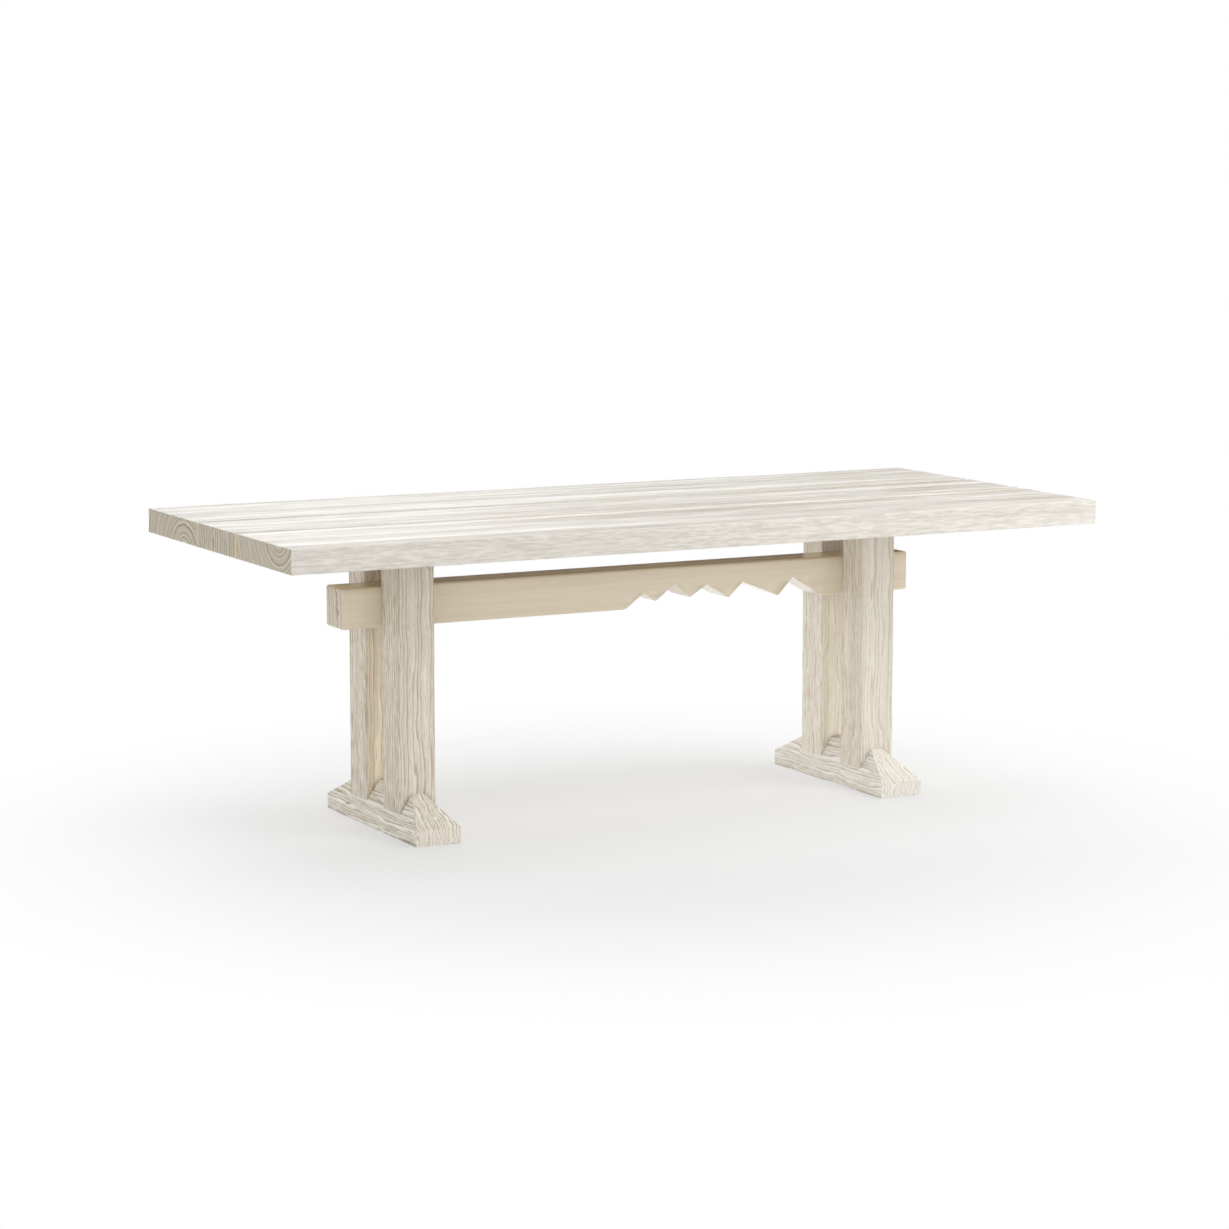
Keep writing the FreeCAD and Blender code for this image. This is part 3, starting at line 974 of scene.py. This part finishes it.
@dataclass
class Trestles:
    """The posts, feet and bearers of both trestles."""

    strip_width: float = 0.0018
    strip_length: float = 0.045
    post_depth: float = 0.0004
    foot_depth: float = 0.0005
    foot_ease: float = 0.0015
    foot_side_height: float = 0.039
    foot_ridge_width: float = 0.031
    foot_ridge_length: float = 0.3
    post_sharp_angle: float = 50.0
    foot_sharp_angle: float = 25.0

    # Each piece begins a step farther along its log. Posts and feet count the pith from their own middle.
    first_start: float = 31.0
    start_step: float = 3.7
    post_log: Log = Log(
        grain=Grain.UPRIGHT, pith=(0.2, 0.2, 0.0), ring_pitch=0.008, sway=0.002,
        sway_length=0.35, wander=2.0)
    foot_log: Log = Log(
        grain=Grain.CROSSWISE, pith=(0.2, 0.0, 0.17), ring_pitch=0.009, sway=0.002,
        sway_length=0.35, wander=2.2, crossed=True)
    bearer_log: Log = Log(
        grain=Grain.CROSSWISE, pith=(0.0, 0.0, 0.4), ring_pitch=0.006, sway=0.002,
        sway_length=0.6, wander=1.0)
    # Painted light and shade: each post's colours are scaled and its side faces toned apart to match how
    # brightly each face is lit; the rear posts' inner faces are lighter and warmer as painted bounce light
    # between the posts.
    finishes: ClassVar[Dict[str, WoodFinish]] = {
        "post_left_front": replace(TRESTLE_FINISH.with_painted_light(0.94, 0.94, 0.94), painted_side_light=(1.04, 1.03, 1.02)),
        "post_left_rear": replace(TRESTLE_FINISH.with_painted_light(1.14, 1.1, 1.03), painted_side_light=(0.89, 0.92, 0.99)),
        "post_right_front": replace(
            PAINTED_LIGHT_TRESTLE_FINISH.with_painted_light(0.89, 0.89, 0.89), painted_side_light=(1.09, 1.07, 1.05)),
        "post_right_rear": replace(PAINTED_LIGHT_TRESTLE_FINISH.with_painted_light(1.1, 1.1, 1.1), painted_side_light=(1.0, 1.0, 1.02)),
        "foot_left": FOOT_FINISH,
        "foot_right": PAINTED_LIGHT_FOOT_FINISH}

    def build(self, nodes: Dict[str, bpy.types.Object], groups: WoodGroups) -> None:
        """Make and dress both trestles.

        Args:
            nodes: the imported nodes.
            groups: the shared node groups.
        """
        start = self.first_start
        for side in Trestle:
            for row in Row:
                start += self.start_step
                self.build_post(nodes["post_" + side.value + "_" + row.value], start, groups)
            start += self.start_step
            self.build_foot("foot_" + side.value, start, groups)
            start += self.start_step
            bearer = nodes["bearer_" + side.value]
            log = replace(self.bearer_log, start=start)
            dress_node(bearer, BEARER_FINISH.material(bearer.name, log, groups))

    def build_post(self, node: bpy.types.Object, start: float, groups: WoodGroups) -> None:
        """Make a post from its node, with the cope, tenons and bolt holes that it has there.

        Args:
            node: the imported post.
            start: distance along its log.
            groups: the shared node groups.
        """
        low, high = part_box(node.name)
        log = self.post_log.moved((low + high) / 2, start)
        carving = Carving.of_node(node)
        carving.cut_strips(Axis.X, self.strip_width)
        carving.cut_strips(Axis.Y, self.strip_width)
        carving.cut_strips(Axis.Z, self.strip_length)
        mesh = carving.brushed(
            "brushed_" + node.name, log, self.post_depth, self.post_sharp_angle, upright=True)
        finish = self.finishes[node.name]
        add_piece(node.name, mesh, finish.material(node.name, log, groups))

    def build_foot(self, node: str, start: float, groups: WoodGroups) -> None:
        """Make a foot: an upright base drawn up into four hips and a narrow ridge.

        Args:
            node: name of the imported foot.
            start: distance along its log.
            groups: the shared node groups.
        """
        low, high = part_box(node)
        middle = (low + high) / 2
        eaves = Vector((high.x, high.y, low.z + self.foot_side_height))
        carving = Carving.of_box(low, eaves)
        roof = max(carving.bm.faces, key=lambda face: face.calc_center_median().z)
        raised = bmesh.ops.extrude_discrete_faces(carving.bm, faces=[roof])["faces"][0]
        for vertex in raised.verts:
            vertex.co.x = middle.x + math.copysign(self.foot_ridge_width / 2, vertex.co.x - middle.x)
            vertex.co.y = middle.y + math.copysign(self.foot_ridge_length / 2, vertex.co.y - middle.y)
            vertex.co.z = high.z
        carving.ease(self.foot_ease)
        carving.cut_strips(Axis.X, self.strip_width)
        carving.cut_strips(Axis.Z, self.strip_width)
        carving.cut_strips(Axis.Y, self.strip_length)
        log = self.foot_log.moved(middle, start)
        mesh = carving.brushed(
            "brushed_" + node, log, self.foot_depth, self.foot_sharp_angle, upright=True)
        finish = self.finishes[node]
        add_piece(node, mesh, finish.material(node, log, groups))


@dataclass
class Stretcher:
    """The beam through both trestles, with its zigzag edge."""

    node: str = "stretcher"
    strip_width: float = 0.0025
    strip_length: float = 0.06
    depth: float = 0.0001
    sharp_angle: float = 50.0
    log: Log = Log(
        grain=Grain.LENGTHWISE, pith=(0.0, 0.4, 0.52), ring_pitch=0.017, sway=0.0012,
        sway_length=0.8, wander=0.7, start=71.0)

    def build(self, nodes: Dict[str, bpy.types.Object], groups: WoodGroups) -> None:
        """Make the beam from its node and dress it.

        Args:
            nodes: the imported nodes.
            groups: the shared node groups.
        """
        carving = Carving.of_node(nodes[self.node])
        carving.cut_strips(Axis.Y, self.strip_width)
        carving.cut_strips(Axis.Z, self.strip_width)
        carving.cut_strips(Axis.X, self.strip_length)
        mesh = carving.brushed("planed_" + self.node, self.log, self.depth, self.sharp_angle)
        material = STRETCHER_FINISH.material(self.node, self.log, groups)
        add_piece(self.node, mesh, material)


@dataclass
class Fixings:
    """The dowels, bolts, inserts and screws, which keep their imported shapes."""

    dowels: Tuple[str, ...] = ("plank_dowels_front", "plank_dowels_rear")
    steel: Tuple[str, ...] = ("stretcher_bolts", "bolt_washers", "top_screws", "screw_washers")
    brass: Tuple[str, ...] = ("threaded_inserts",)
    dowel_log: Log = Log(
        grain=Grain.CROSSWISE, pith=(0.0, 0.0, 0.6), ring_pitch=0.003, sway=0.0,
        sway_length=1.0, wander=0.5, start=83.0)

    def dress(self, nodes: Dict[str, bpy.types.Object], groups: WoodGroups) -> None:
        """Give every fixing its finish.

        Args:
            nodes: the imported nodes.
            groups: the shared node groups.
        """
        wood = DOWEL_FINISH.material("dowels", self.dowel_log, groups)
        for names, material in (
            (self.dowels, wood), (self.steel, STEEL_FINISH.material()), (self.brass, BRASS_FINISH.material())
        ):
            for name in names:
                dress_node(nodes[name], material)


@dataclass(frozen=True)
class Softbox:
    """A broad rectangular lamp.

    Attributes:
        name: name of the lamp.
        place: where it hangs.
        aim: the point it faces.
        size: width and height.
        power: its power in watts.
    """

    name: str
    place: Point
    aim: Point
    size: Tuple[float, float]
    power: float

    def hang(self) -> None:
        """Put the lamp in the scene."""
        lamp = bpy.data.lights.new(self.name, "AREA")
        lamp.shape = "RECTANGLE"
        lamp.size, lamp.size_y = self.size
        lamp.energy = self.power
        piece = bpy.data.objects.new(self.name, lamp)
        piece.location = self.place
        piece.rotation_euler = (Vector(self.aim) - Vector(self.place)).to_track_quat("-Z", "Y").to_euler()
        bpy.context.scene.collection.objects.link(piece)


@dataclass
class Studio:
    """The white floor, the soft light and the camera at the photograph's place."""

    floor_size: float = 60.0
    floor_colour: Colour = (0.7, 0.7, 0.7)
    floor_bounce: Colour = (0.92, 0.92, 0.92)
    floor_white_share: float = 0.43
    floor_middle: Point = (-0.05, -0.34, 0.0)
    floor_fade: Tuple[float, float] = (0.46, 1.98)
    sky_horizon: float = 1.5
    sky_zenith: float = 0.0
    sky_mirrored: float = 0.1
    camera_place: Point = (-4.019785, -7.655365, 1.720705)
    camera_tilt: float = -0.142529
    camera_pan: float = -0.479829
    focal_pixels: float = 3459.628
    image_pixels: float = 1229.0
    sensor_width: float = 36.0
    softboxes: Tuple[Softbox, ...] = (
        Softbox("back_softbox", (0.6, 4.1, 3.5), (0.0, 0.0, 0.7), (2.4, 2.0), 76.0),
        Softbox("overhead_softbox", (0.0, -0.2, 8.0), (0.0, 0.0, 0.0), (5.0, 5.0), 197.0),
        Softbox("front_softbox", (2.6, -2.6, 3.2), (0.5, 0.0, 0.5), (2.0, 2.0), 76.0),
        Softbox("left_softbox", (-4.5, -4.5, 1.8), (0.0, 0.0, 0.5), (3.0, 3.0), 24.0),
        Softbox("right_softbox", (4.2, 0.6, 1.6), (0.5, 0.0, 0.5), (2.0, 2.0), 20.0),
    )

    def build(self) -> None:
        """Put the floor, the surroundings, the lamps and the camera in the scene."""
        self.lay_floor()
        self.light_surroundings()
        for softbox in self.softboxes:
            softbox.hang()
        self.place_camera()
        bpy.context.scene.view_settings.view_transform = "Standard"

    def lay_floor(self) -> None:
        """Lay a pale floor that fades to plain white away from the table."""
        bm = bmesh.new()
        bmesh.ops.create_grid(bm, x_segments=1, y_segments=1, size=self.floor_size / 2)
        mesh = bpy.data.meshes.new("studio_floor")
        bm.to_mesh(mesh)
        bm.free()
        floor = bpy.data.objects.new("studio_floor", mesh)
        bpy.context.scene.collection.objects.link(floor)
        material = bpy.data.materials.new("studio_floor")
        material.use_nodes = True
        graph = Graph(material.node_tree)
        matt = graph.node("ShaderNodeBsdfDiffuse")
        seen = graph.node("ShaderNodeLightPath").outputs["Is Camera Ray"]
        graph.feed(matt.inputs["Color"], graph.mix(seen, self.floor_bounce, self.floor_colour))
        white = graph.node("ShaderNodeEmission")
        blend = graph.node("ShaderNodeMixShader")
        place = graph.node("ShaderNodeTexCoord").outputs["Object"]
        apart = graph.vector_math("DISTANCE", place, self.floor_middle)["Value"]
        far = graph.smooth(apart, *self.floor_fade)
        share = graph.span(far, self.floor_white_share, 1.0)
        graph.feed(blend.inputs[0], graph.math("MULTIPLY", seen, share))
        graph.feed(blend.inputs[1], matt.outputs[0])
        graph.feed(blend.inputs[2], white.outputs[0])
        graph.show(blend)
        mesh.materials.append(material)

    def light_surroundings(self) -> None:
        """Light the scene from all round, most from the horizon, with white behind everything."""
        world = bpy.data.worlds.new("studio")
        bpy.context.scene.world = world
        world.use_nodes = True
        graph = Graph(world.node_tree)
        direction = graph.node("ShaderNodeTexCoord").outputs["Generated"]
        height = graph.math("MAXIMUM", graph.dot(direction, (0.0, 0.0, 1.0)), 0.0)
        path = graph.node("ShaderNodeLightPath")
        sky = graph.span(height, self.sky_horizon, self.sky_zenith)
        dimmed = graph.span(path.outputs["Is Glossy Ray"], sky, self.sky_mirrored)
        strength = graph.span(path.outputs["Is Camera Ray"], dimmed, 1.0)
        background = graph.node("ShaderNodeBackground")
        graph.feed(background.inputs["Color"], (1.0, 1.0, 1.0))
        graph.feed(background.inputs["Strength"], strength)
        graph.show(background, "ShaderNodeOutputWorld")

    def place_camera(self) -> None:
        """Put the camera where the photograph was taken from."""
        camera = bpy.data.cameras.new("photograph_camera")
        camera.sensor_fit = "HORIZONTAL"
        camera.sensor_width = self.sensor_width
        camera.lens = self.sensor_width * self.focal_pixels / self.image_pixels
        piece = bpy.data.objects.new("photograph_camera", camera)
        piece.location = self.camera_place
        piece.rotation_euler = (math.pi / 2 + self.camera_tilt, 0.0, self.camera_pan)
        bpy.context.scene.collection.objects.link(piece)
        bpy.context.scene.camera = piece


def main() -> None:
    """Load the frame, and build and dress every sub-assembly."""
    logging.basicConfig(level=logging.INFO, format="%(message)s")
    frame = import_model()
    groups = WoodGroups()
    Top().build(groups)
    Trestles().build(frame["nodes"], groups)
    Stretcher().build(frame["nodes"], groups)
    Fixings().dress(frame["nodes"], groups)
    Studio().build()


if __name__ == "__main__":
    main()
